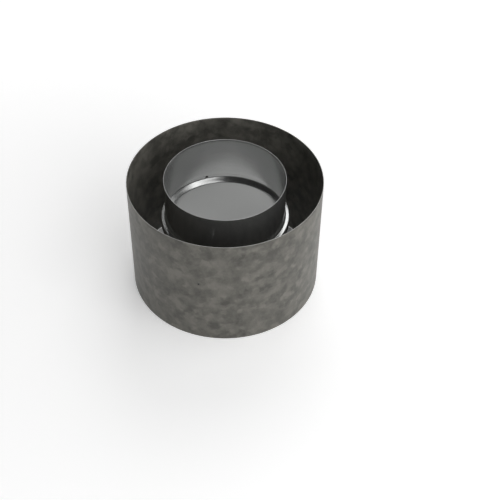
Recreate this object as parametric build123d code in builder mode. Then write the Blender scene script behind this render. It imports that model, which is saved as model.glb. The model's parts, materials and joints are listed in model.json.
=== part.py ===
from build123d import *
import os
from math import radians, sqrt, tan

# Co-axial vent termination adapter: a galvanised sheet sleeve round a smooth, beaded flue pipe.
# Both are open at both ends, and their rims are level at the top and at the bottom.
# Millimetres, +Z up. The origin is on the common axis, in the plane of the bottom rims.
# Angles are in degrees about +Z, counted from +X towards +Y. The front of the object is at -Y.

# Overall height of the sleeve and of the flue pipe
HEIGHT = 134.4

# Outer sleeve: 8 in outside, of rolled galvanised sheet
SLEEVE_DIAMETER = 203.2
SLEEVE_WALL = 0.6

# Flue pipe: 5 in outside, of rolled aluminium sheet
PIPE_DIAMETER = 127.0
PIPE_WALL = 0.5

# Bead rolled outward round the flue pipe, which stops a collar slid over the pipe from the top.
# Its section, measured on the inner face of the sheet, has a nearly level shoulder above, an
# upright crest and a sloping flank below. The shoulder joins its neighbours over a bevel, and the
# flank over a round. The flank's angle is counted from the wall of the pipe.
BEAD_BELOW_TOP = 47.7
BEAD_HEIGHT = 13.6
BEAD_DEPTH = 4.9
SHOULDER_RISE = 0.2
SHOULDER_ROOT_BEVEL = 1.1
SHOULDER_CREST_BEVEL = 0.5
FLANK_ANGLE = 50.0
FLANK_ROOT_RADIUS = 1.6
FLANK_CREST_RADIUS = 1.2

# Screw holes: a pair on opposite sides of the sleeve, and a pair through the crest of the bead
SCREWS_IN_PAIR = 2
SCREW_HOLE_DIAMETER = 3.0
SLEEVE_SCREW_BELOW_TOP = 55.0
SLEEVE_SCREW_ANGLE = 255.0
PIPE_SCREW_EDGE_ABOVE_FLANK = 0.1
PIPE_SCREW_ANGLE = 107.8

# Spacers: three Z-shaped strips that hold the flue pipe on the axis of the sleeve
SPACER_COUNT = 3
SPACER_FIRST_ANGLE = 90.0
SPACER_WIDTH = 16.0
SPACER_SHEET = 0.8
SPACER_FOOT = 14.0
SPACER_BEND_RADIUS = 1.2
SPACER_WEB_HEIGHT = 34.0
SPACER_CLEARANCE = 0.3

# Worked out from the sizes above
sleeve_radius = SLEEVE_DIAMETER / 2
sleeve_bore_radius = sleeve_radius - SLEEVE_WALL
sleeve_screw_height = HEIGHT - SLEEVE_SCREW_BELOW_TOP
pipe_radius = PIPE_DIAMETER / 2
pipe_bore_radius = pipe_radius - PIPE_WALL
flank_angle = radians(FLANK_ANGLE)
bead_top = HEIGHT - BEAD_BELOW_TOP
shoulder_inner = bead_top - SHOULDER_ROOT_BEVEL
shoulder_outer = shoulder_inner - SHOULDER_RISE
crest_top = shoulder_outer - SHOULDER_CREST_BEVEL
crest_radius = pipe_bore_radius + BEAD_DEPTH
flank_foot = bead_top - BEAD_HEIGHT + FLANK_ROOT_RADIUS * tan(flank_angle / 2)
flank_top = flank_foot + BEAD_DEPTH / tan(flank_angle)
crest_foot = flank_top + FLANK_CREST_RADIUS * tan(flank_angle / 2)
pipe_screw_height = crest_foot + PIPE_SCREW_EDGE_ABOVE_FLANK + SCREW_HOLE_DIAMETER / 2


def drill_screw_holes(radius, wall, height, first_angle):
    """Cuts a pair of screw holes through a wall with that outside radius in the current block."""
    drill_length = wall * 4
    with Locations((0, 0, height)):
        with PolarLocations(radius - wall / 2, SCREWS_IN_PAIR, start_angle=first_angle):
            Cylinder(SCREW_HOLE_DIAMETER / 2, drill_length, rotation=(0, 90, 0), mode=Mode.SUBTRACT)


# Outer sleeve: a plain tube with two screw holes
with BuildPart() as outer_sleeve:
    with BuildSketch(Plane.XY):
        Circle(sleeve_radius)
        Circle(sleeve_bore_radius, mode=Mode.SUBTRACT)
    extrude(amount=HEIGHT)
    drill_screw_holes(sleeve_radius, SLEEVE_WALL, sleeve_screw_height, SLEEVE_SCREW_ANGLE)
outer_sleeve.part.label = "outer_sleeve"

# Flue pipe: the line of its inner face, with the bead in it, given the thickness of the sheet and
# turned about the axis
with BuildPart() as flue_pipe:
    with BuildSketch(Plane.XZ):
        with BuildLine():
            flank = FilletPolyline(
                (pipe_bore_radius, 0),
                (pipe_bore_radius, flank_foot),
                (crest_radius, flank_top),
                (crest_radius, crest_top),
                radius=[FLANK_ROOT_RADIUS, FLANK_CREST_RADIUS],
            )
            Polyline(
                flank @ 1,
                (crest_radius - SHOULDER_CREST_BEVEL, shoulder_outer),
                (pipe_bore_radius + SHOULDER_ROOT_BEVEL, shoulder_inner),
                (pipe_bore_radius, bead_top),
                (pipe_bore_radius, HEIGHT),
            )
            offset(amount=PIPE_WALL, side=Side.RIGHT, kind=Kind.INTERSECTION)
        make_face()
    revolve(axis=Axis.Z)
    crest_outside = crest_radius + PIPE_WALL
    drill_screw_holes(crest_outside, PIPE_WALL, pipe_screw_height, PIPE_SCREW_ANGLE)
flue_pipe.part.label = "flue_pipe"

# Spacers: straight Z-shaped strips. The middle of one foot lies on the flue pipe, and the two long
# edges of the other lie in the sleeve.
foot_on_pipe = pipe_radius + SPACER_CLEARANCE
foot_on_sleeve = sqrt((sleeve_bore_radius - SPACER_CLEARANCE) ** 2 - (SPACER_WIDTH / 2) ** 2)
spacers = []
for number in range(SPACER_COUNT):
    angle = SPACER_FIRST_ANGLE + number * 360 / SPACER_COUNT
    with BuildPart() as spacer:
        with BuildSketch(Plane.XZ.rotated((0, 0, angle))):
            with BuildLine():
                FilletPolyline(
                    (foot_on_pipe, SPACER_WEB_HEIGHT + SPACER_FOOT),
                    (foot_on_pipe, SPACER_WEB_HEIGHT),
                    (foot_on_sleeve - SPACER_SHEET, SPACER_WEB_HEIGHT),
                    (foot_on_sleeve - SPACER_SHEET, SPACER_WEB_HEIGHT - SPACER_FOOT),
                    radius=SPACER_BEND_RADIUS,
                )
                offset(amount=SPACER_SHEET, side=Side.LEFT)
            make_face()
        extrude(amount=SPACER_WIDTH / 2, both=True)
    spacer.part.label = f"spacer_{number + 1}"
    spacers.append(spacer.part)

os.makedirs("parts", exist_ok=True)
for piece in [outer_sleeve.part, flue_pipe.part, *spacers]:
    export_step(piece, f"parts/{piece.label}.step")
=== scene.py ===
import json
from math import atan2, cos, hypot, pi, radians, sin

import bmesh
import bpy
from mathutils import Matrix, Vector


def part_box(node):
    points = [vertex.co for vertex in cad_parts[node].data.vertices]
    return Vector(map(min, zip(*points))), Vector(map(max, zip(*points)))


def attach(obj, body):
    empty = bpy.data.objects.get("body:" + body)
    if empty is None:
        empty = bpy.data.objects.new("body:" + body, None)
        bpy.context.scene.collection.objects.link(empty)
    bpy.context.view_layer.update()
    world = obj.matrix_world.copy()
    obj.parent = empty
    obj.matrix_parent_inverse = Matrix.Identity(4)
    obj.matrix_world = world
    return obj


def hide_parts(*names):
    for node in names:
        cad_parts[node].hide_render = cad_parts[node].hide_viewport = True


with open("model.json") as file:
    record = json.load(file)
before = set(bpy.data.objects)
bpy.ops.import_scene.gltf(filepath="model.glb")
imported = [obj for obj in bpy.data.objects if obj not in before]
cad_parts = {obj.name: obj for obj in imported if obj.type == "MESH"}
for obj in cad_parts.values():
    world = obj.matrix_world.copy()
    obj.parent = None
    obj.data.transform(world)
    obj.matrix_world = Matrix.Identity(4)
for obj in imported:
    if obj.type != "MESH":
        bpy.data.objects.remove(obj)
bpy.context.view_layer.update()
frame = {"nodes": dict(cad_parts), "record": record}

MM = 0.001

# Camera: it looks down at the front of the adapter. Its place is set out from the centre of the
# top rim, in sleeve radii. The shift moves the object left in the frame.
CAMERA_TILT = radians(45.05)
CAMERA_DISTANCE = 10.189
CAMERA_BELOW_CENTRE = 0.727
CAMERA_RIGHT_OF_CENTRE = 0.07
CAMERA_LENS = 72.52
CAMERA_SENSOR = 36.0
CAMERA_SHIFT = 0.0362

# Bead of the flue pipe, on the inner face of the sheet: a nearly level shoulder above, an upright
# crest and a sloping flank below. Its angles are counted from the wall of the pipe.
BEAD_BELOW_TOP = 47.7 * MM
BEAD_HEIGHT = 13.6 * MM
BEAD_DEPTH = 4.9 * MM
SHOULDER_ANGLE = radians(88)
SHOULDER_CREST_RADIUS = 0.8 * MM
SHOULDER_ROOT_RADIUS = 1.8 * MM
FLANK_ANGLE = radians(50)
FLANK_CREST_RADIUS = 1.2 * MM
FLANK_ROOT_RADIUS = 1.6 * MM

# Meshes of the two tubes
COLUMNS = 240
ARC_STEP = radians(10)
LONGEST_ROW = 4.0 * MM
PATCH_HALF = 2.4 * MM
PATCH_CELLS = 8
PATCH_RINGS = 4
OUTERMOST_RING = 0.93 * PATCH_HALF
RIM_ROUNDING = 0.14 * MM
RIM_SEGMENTS = 2
RIM_ANGLE = radians(60)

# Soft square lamps: name, azimuth and elevation in degrees, side in metres and power in watts.
# The world adds a faint light from all sides.
WORLD_STRENGTH = 0.02
LAMP_DISTANCE = 1.6
LAMPS = [
    ("front_right_lamp", -50, 40, 1.2, 7.8),
    ("front_low_lamp", -66, 18, 0.8, 2.4),
    ("right_top_lamp", -4, 62, 1.0, 3.6),
    ("back_right_lamp", 75, 48, 0.9, 5.2),
    ("back_lamp", 90, 40, 0.6, 1.8),
    ("top_lamp", 0, 85, 0.6, 2.4),
]

# Floor, with a backdrop all round it. Its glow grows with the distance from the middle of the floor.
# It nearly stops under the ring gap. This makes a ring of painted shade there, so the glow does not
# lighten the shadow.
SWEEP_RADIUS = 4.0
SWEEP_HEIGHT = 1.7
SWEEP_COLUMNS = 96
COVE_RADIUS = 0.8
COVE_STEPS = 8
FLOOR_WHITE = (0.9, 0.9, 0.9, 1)
FLOOR_ROUGHNESS = 0.9
GLOW_NEAR = 0.15
GLOW_FAR = 1.5
GLOW_WEAKEST = 0.42
GLOW_STRONGEST = 0.9
# Ring of painted shade on the floor under the gap between the tubes: its middle, half width and how
# much of the glow it takes away
PAINTED_SHADE_RING_MIDDLE = 82.0 * MM
PAINTED_SHADE_RING_HALF = 18.5 * MM
PAINTED_SHADE_DIMMING = 0.95

# Shallow dish that the punch leaves round a screw hole of the sleeve
DISH_RADIUS = 3.0 * MM
DISH_DEPTH = 0.45 * MM

# Range that the noise textures mostly keep to, and the number of fine grains in a metre
NOISE_LOW = 0.3
NOISE_MIDDLE = 0.5
NOISE_HIGH = 0.7
GRAINS = 900.0

# Zinc of the sleeve and of the spacers: dark and light colours of its mottling, the number of
# spangles, clouds and bends in a metre, the span over which the bends shift the spangles' edges,
# the shares of the clouds and of the grain, and the range in which dark turns to light
SLEEVE_ZINC = ((0.1, 0.097, 0.085), (0.246, 0.237, 0.209))
SLEEVE_ROUGHNESS = 0.5
SPACER_ZINC = ((0.2, 0.2, 0.19), (0.28, 0.28, 0.27))
SPACER_ROUGHNESS = 0.4
SPANGLES = 130.0
CLOUDS = 62.0
BENDS = 160.0
BEND_REACH = 12.0 * MM
CLOUD_SHARE = 0.7
GRAIN_SHARE = 0.12
MOTTLE_LOW = 0.35
MOTTLE_HIGH = 0.65
ZINC_METALLIC = 0.25
ZINC_RELIEF = 0.08 * MM

# Sheet of the flue pipe: its colour, the share of it that is left in the dark clouds, and the number
# of clouds in a metre and of rolling lines along and across them
PIPE_METAL = (0.44, 0.445, 0.44)
PIPE_DARK_SHARE = 0.97
PIPE_ROUGHNESS = 0.2
PIPE_METALLIC = 0.83
PIPE_CLOUDS = 35.0
LINES_ALONG = 60.0
LINES_ACROSS = 2500.0
LINE_RELIEF = 0.02 * MM

# Cut edges of both sheets, with the share of their colour that is left in the dark grains
SLEEVE_CUT_EDGE = (0.5, 0.5, 0.48)
PIPE_CUT_EDGE = (0.5, 0.5, 0.5)
CUT_EDGE_DARK_SHARE = 0.8
CUT_EDGE_ROUGHNESS = 0.5
CUT_EDGE_METALLIC = 0.5
CUT_EDGE_RELIEF = 0.03 * MM

MOUNTS = {mount["name"]: mount for mount in frame["record"]["mounts"]}


def link(thing):
    bpy.context.scene.collection.objects.link(thing)
    return thing


def bore_radius(name):
    """The smallest distance of a CAD node's vertices from the axis."""
    return min(hypot(v.co.x, v.co.y) for v in frame["nodes"][name].data.vertices)


def wall_of(name):
    """Thickness of a sheet, from the length of its screw hole's bore mount."""
    return MOUNTS[name]["dims"]["length_mm"] * MM


# Shapes


def arc(across, up, radius, start, end):
    """Points on the arc of that radius round (across, up), from one angle to the other."""
    steps = max(2, round(abs(end - start) / ARC_STEP))
    angles = [start + (end - start) * k / steps for k in range(steps + 1)]
    return [Vector((across + radius * cos(angle), up + radius * sin(angle))) for angle in angles]


def side_height(angle, crest_radius, root_radius):
    """Height of one side of the bead, from its upright crest to the end of its root."""
    arcs = crest_radius + root_radius
    straight = (BEAD_DEPTH - arcs * (1 - cos(angle))) / sin(angle)
    return arcs * sin(angle) + straight * cos(angle)


def beaded_line():
    """Inner face of the flue pipe from the bottom up, as (radius, height) points."""
    low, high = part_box("flue_pipe")
    bore = bore_radius("flue_pipe")
    crest = bore + BEAD_DEPTH
    bead_top = high.z - BEAD_BELOW_TOP
    bead_bottom = bead_top - BEAD_HEIGHT
    crest_top = bead_top - side_height(SHOULDER_ANGLE, SHOULDER_CREST_RADIUS, SHOULDER_ROOT_RADIUS)
    crest_bottom = bead_bottom + side_height(FLANK_ANGLE, FLANK_CREST_RADIUS, FLANK_ROOT_RADIUS)
    line = [Vector((bore, low.z))]
    line += arc(bore + FLANK_ROOT_RADIUS, bead_bottom, FLANK_ROOT_RADIUS, pi, pi - FLANK_ANGLE)
    line += arc(crest - FLANK_CREST_RADIUS, crest_bottom, FLANK_CREST_RADIUS, -FLANK_ANGLE, 0)
    line += arc(crest - SHOULDER_CREST_RADIUS, crest_top, SHOULDER_CREST_RADIUS, 0, SHOULDER_ANGLE)
    line += arc(bore + SHOULDER_ROOT_RADIUS, bead_top, SHOULDER_ROOT_RADIUS, pi + SHOULDER_ANGLE, pi)
    line.append(Vector((bore, high.z)))
    return line


def plain_line():
    """Inner face of the sleeve from the bottom up, as (radius, height) points."""
    low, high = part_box("outer_sleeve")
    bore = bore_radius("outer_sleeve")
    return [Vector((bore, low.z)), Vector((bore, high.z))]


def divided(marks, step):
    """The marks, with evenly spaced ones added wherever two lie more than a step apart."""
    # Added before rounding, it rounds up, but not for a rounding error above a whole number
    just_under_half = 0.49
    filled = [marks[0]]
    for start, end in zip(marks, marks[1:]):
        count = max(1, round((end - start) / step + just_under_half))
        filled += [start + (end - start) * k / count for k in range(1, count + 1)]
    return filled


class Sheet:
    """A line turned about Z. A point on it is given by its angle and its length along the line."""

    def __init__(self, line):
        self.line = line
        self.lengths = [0.0]
        for a, b in zip(line, line[1:]):
            self.lengths.append(self.lengths[-1] + (b - a).length)

    def length_at(self, height):
        """Length along the line up to its point at that height. The line rises all the way."""
        for k in range(1, len(self.line)):
            start, end = self.line[k - 1].y, self.line[k].y
            if height <= end:
                part = (height - start) / (end - start)
                return self.lengths[k - 1] + part * (self.lengths[k] - self.lengths[k - 1])

    def on_line(self, length):
        """Point of the line at that length along it, as (radius, height)."""
        for k in range(1, len(self.line)):
            if length <= self.lengths[k] or k == len(self.line) - 1:
                part = (length - self.lengths[k - 1]) / (self.lengths[k] - self.lengths[k - 1])
                return self.line[k - 1].lerp(self.line[k], part)

    def point(self, angle, length, inward=0.0):
        """Point of the sheet, or one that lies nearer to the axis by the inward distance."""
        place = self.on_line(length)
        radius = place.x - inward
        return Vector((radius * cos(angle), radius * sin(angle), place.y))


def screw_holes(*names):
    """Angle, height and radius of the bore mounts with those names."""
    holes = []
    for name in names:
        x, y, z = MOUNTS[name]["pos_m"]
        holes.append((atan2(y, x) % (2 * pi), z, MOUNTS[name]["dims"]["r_mm"] * MM))
    return sorted(holes)


def grid_lines(sheet, holes):
    """Angles and lengths of the grid's lines, with fine ones across the patch round each hole, and
    the length at which the middles of the holes lie."""
    centre = sheet.length_at(holes[0][1])
    half = PATCH_HALF / sheet.on_line(centre).x
    starts = [angle - half for angle, _, _ in holes]
    angles = []
    for k, start in enumerate(starts):
        following = starts[k + 1] if k + 1 < len(starts) else starts[0] + 2 * pi
        angles += divided([start, start + 2 * half], 2 * half / PATCH_CELLS)[:-1]
        angles += divided([start + 2 * half, following], 2 * pi / COLUMNS)[:-1]
    low, high = centre - PATCH_HALF, centre + PATCH_HALF
    marks = [mark for mark in sheet.lengths if mark < low or mark > high]
    below = [mark for mark in marks if mark < low] + [low]
    above = [high] + [mark for mark in marks if mark > high]
    lengths = divided(below, LONGEST_ROW)[:-1]
    lengths += divided([low, high], (high - low) / PATCH_CELLS)[:-1]
    lengths += divided(above, LONGEST_ROW)
    return angles, lengths, centre


def ring_radii(hole_radius):
    """Radii of the rings between the edge of a patch and its hole, from the outside in."""
    step = (hole_radius - OUTERMOST_RING) / PATCH_RINGS
    return [OUTERMOST_RING + step * k for k in range(PATCH_RINGS + 1)]


def dish(distance, hole_radius, depth):
    """How far the sheet lies inward at that distance from the middle of a screw hole."""
    if distance >= DISH_RADIUS or depth == 0:
        return 0.0
    part = (DISH_RADIUS - distance) / (DISH_RADIUS - hole_radius)
    return depth * part * part


def patch_border(first_column, bottom_row):
    """Columns and rows of the grid's corners round a patch, in order."""
    last_column = first_column + PATCH_CELLS
    top_row = bottom_row + PATCH_CELLS
    places = [(first_column + k, bottom_row) for k in range(PATCH_CELLS)]
    places += [(last_column, bottom_row + k) for k in range(PATCH_CELLS)]
    places += [(last_column - k, top_row) for k in range(PATCH_CELLS)]
    places += [(first_column, top_row - k) for k in range(PATCH_CELLS)]
    return places


def tube_mesh(name, line, holes, depth=0.0):
    """The inner face of a tube with screw holes in it, each inside a patch of rings."""
    sheet = Sheet(line)
    angles, lengths, middle = grid_lines(sheet, holes)
    reach = sheet.on_line(middle).x
    mesh = bmesh.new()
    grid = {}
    patches = []
    for angle, _, radius in holes:
        first = min(range(len(angles)), key=lambda k: abs(angles[k] - angle + PATCH_HALF / reach))
        patches.append((first, angle, radius))
    bottom_row = min(range(len(lengths)), key=lambda k: abs(lengths[k] - middle + PATCH_HALF))

    def in_patch(column, row):
        inside_row = bottom_row <= row < bottom_row + PATCH_CELLS
        return inside_row and any(first <= column < first + PATCH_CELLS for first, _, _ in patches)

    def corner(column, row):
        key = (column % len(angles), row)
        if key not in grid:
            grid[key] = mesh.verts.new(sheet.point(angles[key[0]], lengths[row]))
        return grid[key]

    for column in range(len(angles)):
        for row in range(len(lengths) - 1):
            if not in_patch(column, row):
                mesh.faces.new((
                    corner(column, row), corner(column + 1, row),
                    corner(column + 1, row + 1), corner(column, row + 1),
                ))

    for first, angle, radius in patches:
        border = patch_border(first, bottom_row)
        outer = [corner(*place) for place in border]
        turns = []
        for column, row in border:
            turns.append(atan2(lengths[row] - middle, (angles[column] - angle) * reach))
        for ring_radius in ring_radii(radius):
            ring = []
            for turn in turns:
                beside = angle + ring_radius * cos(turn) / reach
                along = middle + ring_radius * sin(turn)
                inward = dish(ring_radius, radius, depth)
                ring.append(mesh.verts.new(sheet.point(beside, along, inward)))
            for k in range(len(border)):
                after = (k + 1) % len(border)
                mesh.faces.new((outer[k], outer[after], ring[after], ring[k]))
            outer = ring

    data = bpy.data.meshes.new(name)
    mesh.normal_update()
    mesh.to_mesh(data)
    mesh.free()
    data.shade_smooth()
    return data


def make_tube(name, node, line, holes, wall, depth=0.0):
    """A tube of that line, with the sheet's thickness outside it and its edges slightly rounded."""
    tube = link(bpy.data.objects.new(name, tube_mesh(name, line, holes, depth)))
    thick = tube.modifiers.new("sheet", "SOLIDIFY")
    thick.thickness = wall
    thick.offset = 1.0
    thick.use_even_offset = True
    thick.material_offset_rim = 1
    edge = tube.modifiers.new("edges", "BEVEL")
    edge.width = RIM_ROUNDING
    edge.segments = RIM_SEGMENTS
    edge.limit_method = "ANGLE"
    edge.angle_limit = RIM_ANGLE
    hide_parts(node)
    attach(tube, "root")
    return tube


# Materials


def add_node(tree, kind, inputs=None, **settings):
    """A new shader node with its settings, and with a value or a link for each named input."""
    made = tree.nodes.new(kind)
    for name, value in settings.items():
        setattr(made, name, value)
    for socket, value in (inputs or {}).items():
        if isinstance(value, bpy.types.NodeSocket):
            tree.links.new(value, made.inputs[socket])
        else:
            made.inputs[socket].default_value = value
    return made


def new_material(name):
    material = bpy.data.materials.new(name)
    material.use_nodes = True
    tree = material.node_tree
    return material, tree, tree.nodes["Principled BSDF"]


def add_ramp(tree, value, dark, light, low=NOISE_LOW, high=NOISE_HIGH):
    """Colour that runs from dark to light while the value runs from low to high."""
    ramp = add_node(tree, "ShaderNodeValToRGB", {"Fac": value})
    for stop, place, colour in zip(ramp.color_ramp.elements, (low, high), (dark, light)):
        stop.position = place
        stop.color = (*colour, 1)
    return ramp.outputs["Color"]


def add_bump(tree, shader, height, strength, relief):
    """Fine relief in the shading, that many metres deep where the height runs from 0 to 1."""
    bump = add_node(
        tree, "ShaderNodeBump", {"Strength": strength, "Distance": relief, "Height": height},
    )
    tree.links.new(bump.outputs["Normal"], shader.inputs["Normal"])


def vary_roughness(tree, shader, value, middle, spread):
    """Roughness that varies by the spread to both sides of its middle."""
    rough = add_node(
        tree, "ShaderNodeMapRange",
        {
            "Value": value, "From Min": NOISE_LOW, "From Max": NOISE_HIGH,
            "To Min": middle - spread, "To Max": middle + spread,
        },
    )
    tree.links.new(rough.outputs["Result"], shader.inputs["Roughness"])


def galvanised(name, dark, light, roughness):
    """Dull zinc: soft spangles about 8 mm wide, cloudy patches and a fine grain."""
    material, tree, shader = new_material(name)
    place = add_node(tree, "ShaderNodeTexCoord").outputs["Object"]
    warp = add_node(tree, "ShaderNodeTexNoise", {"Vector": place, "Scale": BENDS, "Detail": 2.0})
    offset = add_node(
        tree, "ShaderNodeVectorMath",
        {0: warp.outputs["Color"], 1: (NOISE_MIDDLE,) * 3}, operation="SUBTRACT",
    )
    shifted = add_node(
        tree, "ShaderNodeVectorMath",
        {0: offset.outputs[0], 1: (BEND_REACH,) * 3, 2: place}, operation="MULTIPLY_ADD",
    ).outputs[0]
    spangle = add_node(
        tree, "ShaderNodeTexVoronoi",
        {"Vector": shifted, "Scale": SPANGLES, "Smoothness": 1.0}, feature="SMOOTH_F1",
    )
    shade = add_node(
        tree, "ShaderNodeSeparateColor", {"Color": spangle.outputs["Color"]},
    ).outputs["Red"]
    cloud = add_node(
        tree, "ShaderNodeTexNoise",
        {"Vector": place, "Scale": CLOUDS, "Detail": 5.0, "Roughness": 0.65},
    ).outputs["Fac"]
    grain = add_node(
        tree, "ShaderNodeTexNoise",
        {"Vector": place, "Scale": GRAINS, "Detail": 3.0, "Roughness": 0.65},
    ).outputs["Fac"]
    patchy = add_node(
        tree, "ShaderNodeMix", {"Factor": CLOUD_SHARE, "A": shade, "B": cloud}, data_type="FLOAT",
    ).outputs["Result"]
    mottle = add_node(
        tree, "ShaderNodeMix", {"Factor": GRAIN_SHARE, "A": patchy, "B": grain}, data_type="FLOAT",
    ).outputs["Result"]
    colour = add_ramp(tree, mottle, dark, light, MOTTLE_LOW, MOTTLE_HIGH)
    tree.links.new(colour, shader.inputs["Base Color"])
    vary_roughness(tree, shader, mottle, middle=roughness, spread=0.05)
    add_bump(tree, shader, mottle, strength=0.25, relief=ZINC_RELIEF)
    shader.inputs["Metallic"].default_value = ZINC_METALLIC
    return material


def smooth_sheet(name, colour, roughness):
    """Smooth mill-finish sheet: faint clouds in colour and gloss, and fine rolling lines round it."""
    material, tree, shader = new_material(name)
    place = add_node(tree, "ShaderNodeTexCoord").outputs["Object"]
    cloud = add_node(
        tree, "ShaderNodeTexNoise",
        {"Vector": place, "Scale": PIPE_CLOUDS, "Detail": 3.0},
    ).outputs["Fac"]
    stretched = add_node(
        tree, "ShaderNodeMapping",
        {"Vector": place, "Scale": (LINES_ALONG, LINES_ALONG, LINES_ACROSS)},
    ).outputs["Vector"]
    lines = add_node(
        tree, "ShaderNodeTexNoise",
        {"Vector": stretched, "Scale": 1.0, "Detail": 2.0},
    ).outputs["Fac"]
    darker = [PIPE_DARK_SHARE * part for part in colour]
    tree.links.new(add_ramp(tree, cloud, darker, colour), shader.inputs["Base Color"])
    vary_roughness(tree, shader, cloud, middle=roughness, spread=0.02)
    add_bump(tree, shader, lines, strength=0.15, relief=LINE_RELIEF)
    shader.inputs["Metallic"].default_value = PIPE_METALLIC
    return material


def cut_edge(name, colour):
    """Sheared edge of a sheet: bare, light metal with a fine grain."""
    material, tree, shader = new_material(name)
    place = add_node(tree, "ShaderNodeTexCoord").outputs["Object"]
    grain = add_node(
        tree, "ShaderNodeTexNoise",
        {"Vector": place, "Scale": GRAINS, "Detail": 3.0, "Roughness": 0.6},
    ).outputs["Fac"]
    darker = [CUT_EDGE_DARK_SHARE * part for part in colour]
    tree.links.new(add_ramp(tree, grain, darker, colour), shader.inputs["Base Color"])
    add_bump(tree, shader, grain, strength=0.3, relief=CUT_EDGE_RELIEF)
    shader.inputs["Roughness"].default_value = CUT_EDGE_ROUGHNESS
    shader.inputs["Metallic"].default_value = CUT_EDGE_METALLIC
    return material


# Set


def make_camera():
    """Camera that looks towards the back of the adapter and down by its tilt."""
    sleeve_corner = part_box("outer_sleeve")[1]
    radius = sleeve_corner.x
    rim_centre = Vector((0, 0, sleeve_corner.z))
    forward = Vector((0, cos(CAMERA_TILT), -sin(CAMERA_TILT)))
    up = Vector((0, sin(CAMERA_TILT), cos(CAMERA_TILT)))
    data = bpy.data.cameras.new("camera")
    data.lens = CAMERA_LENS
    data.sensor_width = CAMERA_SENSOR
    data.shift_x = CAMERA_SHIFT
    camera = link(bpy.data.objects.new("camera", data))
    right = Vector((1, 0, 0))
    place = rim_centre + radius * CAMERA_RIGHT_OF_CENTRE * right
    place -= radius * (CAMERA_DISTANCE * forward + CAMERA_BELOW_CENTRE * up)
    turned = Matrix((right, up, -forward)).transposed()
    camera.matrix_world = Matrix.LocRotScale(place, turned, None)
    bpy.context.scene.camera = camera


def sweep_line():
    """Profile of the backdrop, from the edge of the level floor up, as (radius, height) points."""
    foot = SWEEP_RADIUS - COVE_RADIUS
    line = [Vector((foot, 0))]
    for k in range(1, COVE_STEPS + 1):
        angle = k / COVE_STEPS * pi / 2
        line.append(Vector((foot + COVE_RADIUS * sin(angle), COVE_RADIUS * (1 - cos(angle)))))
    line.append(Vector((SWEEP_RADIUS, SWEEP_HEIGHT)))
    return line


def sweep_material():
    """White paint, with a glow that lifts it to white where the lamps fade. Only camera, glossy and
    transmission rays see the glow, so the object mirrors it but gets no other light from it."""
    material, tree, shader = new_material("white_floor")
    place = add_node(tree, "ShaderNodeTexCoord").outputs["Object"]
    distance = add_node(
        tree, "ShaderNodeVectorMath", {0: place}, operation="LENGTH",
    ).outputs["Value"]
    glow = add_node(
        tree, "ShaderNodeMapRange",
        {
            "Value": distance, "From Min": GLOW_NEAR, "From Max": GLOW_FAR,
            "To Min": GLOW_WEAKEST, "To Max": GLOW_STRONGEST,
        },
    ).outputs["Result"]
    path = add_node(tree, "ShaderNodeLightPath")
    seen = path.outputs["Is Camera Ray"]
    for kind in ("Is Glossy Ray", "Is Transmission Ray"):
        seen = add_node(
            tree, "ShaderNodeMath", {0: seen, 1: path.outputs[kind]}, operation="MAXIMUM",
        ).outputs[0]
    # Painted shade: the glow nearly stops in a ring under the gap between the tubes
    in_painted_shade_ring = add_node(
        tree, "ShaderNodeMath",
        {0: distance, 1: PAINTED_SHADE_RING_MIDDLE, 2: PAINTED_SHADE_RING_HALF}, operation="COMPARE",
    ).outputs[0]
    painted_shade_share = add_node(
        tree, "ShaderNodeMath", {0: in_painted_shade_ring, 1: -PAINTED_SHADE_DIMMING, 2: 1.0}, operation="MULTIPLY_ADD",
    ).outputs[0]
    for share in (painted_shade_share, seen):
        glow = add_node(
            tree, "ShaderNodeMath", {0: glow, 1: share}, operation="MULTIPLY",
        ).outputs[0]
    tree.links.new(glow, shader.inputs["Emission Strength"])
    shader.inputs["Emission Color"].default_value = (1, 1, 1, 1)
    shader.inputs["Base Color"].default_value = FLOOR_WHITE
    shader.inputs["Roughness"].default_value = FLOOR_ROUGHNESS
    return material


def make_floor():
    """A level disc, with the profile of the backdrop turned about Z round it."""
    mesh = bmesh.new()
    centre = mesh.verts.new((0, 0, 0))
    rings = []
    for place in sweep_line():
        ring = []
        for k in range(SWEEP_COLUMNS):
            turn = 2 * pi * k / SWEEP_COLUMNS
            ring.append(mesh.verts.new((place.x * cos(turn), place.x * sin(turn), place.y)))
        rings.append(ring)
    for k in range(SWEEP_COLUMNS):
        after = (k + 1) % SWEEP_COLUMNS
        mesh.faces.new((centre, rings[0][k], rings[0][after]))
        for inner, outer in zip(rings, rings[1:]):
            mesh.faces.new((inner[k], outer[k], outer[after], inner[after]))
    data = bpy.data.meshes.new("floor")
    mesh.to_mesh(data)
    mesh.free()
    data.shade_smooth()
    floor = link(bpy.data.objects.new("floor", data))
    floor.data.materials.append(sweep_material())


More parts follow.
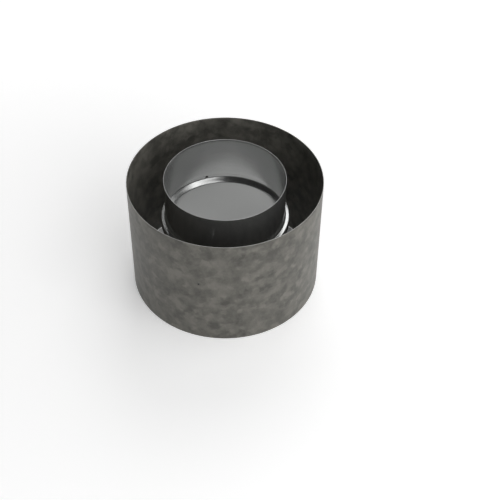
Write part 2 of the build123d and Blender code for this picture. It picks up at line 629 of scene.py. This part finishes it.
def make_lamp(name, azimuth, elevation, size, power):
    """A soft square lamp that faces the object. Azimuth is about +Z, from +X towards +Y."""
    data = bpy.data.lights.new(name, "AREA")
    data.shape = "SQUARE"
    data.size = size
    data.energy = power
    lamp = link(bpy.data.objects.new(name, data))
    flat = cos(elevation)
    back = Vector((cos(azimuth) * flat, sin(azimuth) * flat, sin(elevation)))
    lamp.location = back * LAMP_DISTANCE
    lamp.rotation_mode = "QUATERNION"
    lamp.rotation_quaternion = back.to_track_quat("Z", "Y")


def make_world(strength):
    world = bpy.data.worlds.new("studio")
    world.use_nodes = True
    background = world.node_tree.nodes["Background"]
    background.inputs["Color"].default_value = (1, 1, 1, 1)
    background.inputs["Strength"].default_value = strength
    bpy.context.scene.world = world


# The two sheets take the place of the CAD tubes. The spacers keep their CAD meshes.
sleeve = make_tube(
    "sleeve_sheet", "outer_sleeve", plain_line(),
    screw_holes("sleeve_screw_hole_front", "sleeve_screw_hole_back"),
    wall_of("sleeve_screw_hole_front"), DISH_DEPTH,
)
pipe = make_tube(
    "flue_pipe_sheet", "flue_pipe", beaded_line(),
    screw_holes("flue_pipe_screw_hole_back", "flue_pipe_screw_hole_front"),
    wall_of("flue_pipe_screw_hole_back"),
)
sleeve.data.materials.append(galvanised("galvanised_sheet_zinc", *SLEEVE_ZINC, SLEEVE_ROUGHNESS))
sleeve.data.materials.append(cut_edge("sleeve_cut_edge", SLEEVE_CUT_EDGE))
pipe.data.materials.append(smooth_sheet("flue_pipe_metal", PIPE_METAL, PIPE_ROUGHNESS))
pipe.data.materials.append(cut_edge("flue_pipe_cut_edge", PIPE_CUT_EDGE))
strip_zinc = galvanised("spacer_zinc", *SPACER_ZINC, SPACER_ROUGHNESS)
for name, part in frame["nodes"].items():
    if name.startswith("spacer"):
        part.material_slots[0].material = strip_zinc

make_camera()
make_floor()
for name, azimuth, elevation, size, power in LAMPS:
    make_lamp(name, radians(azimuth), radians(elevation), size, power)
make_world(WORLD_STRENGTH)
bpy.context.scene.view_settings.view_transform = "Standard"
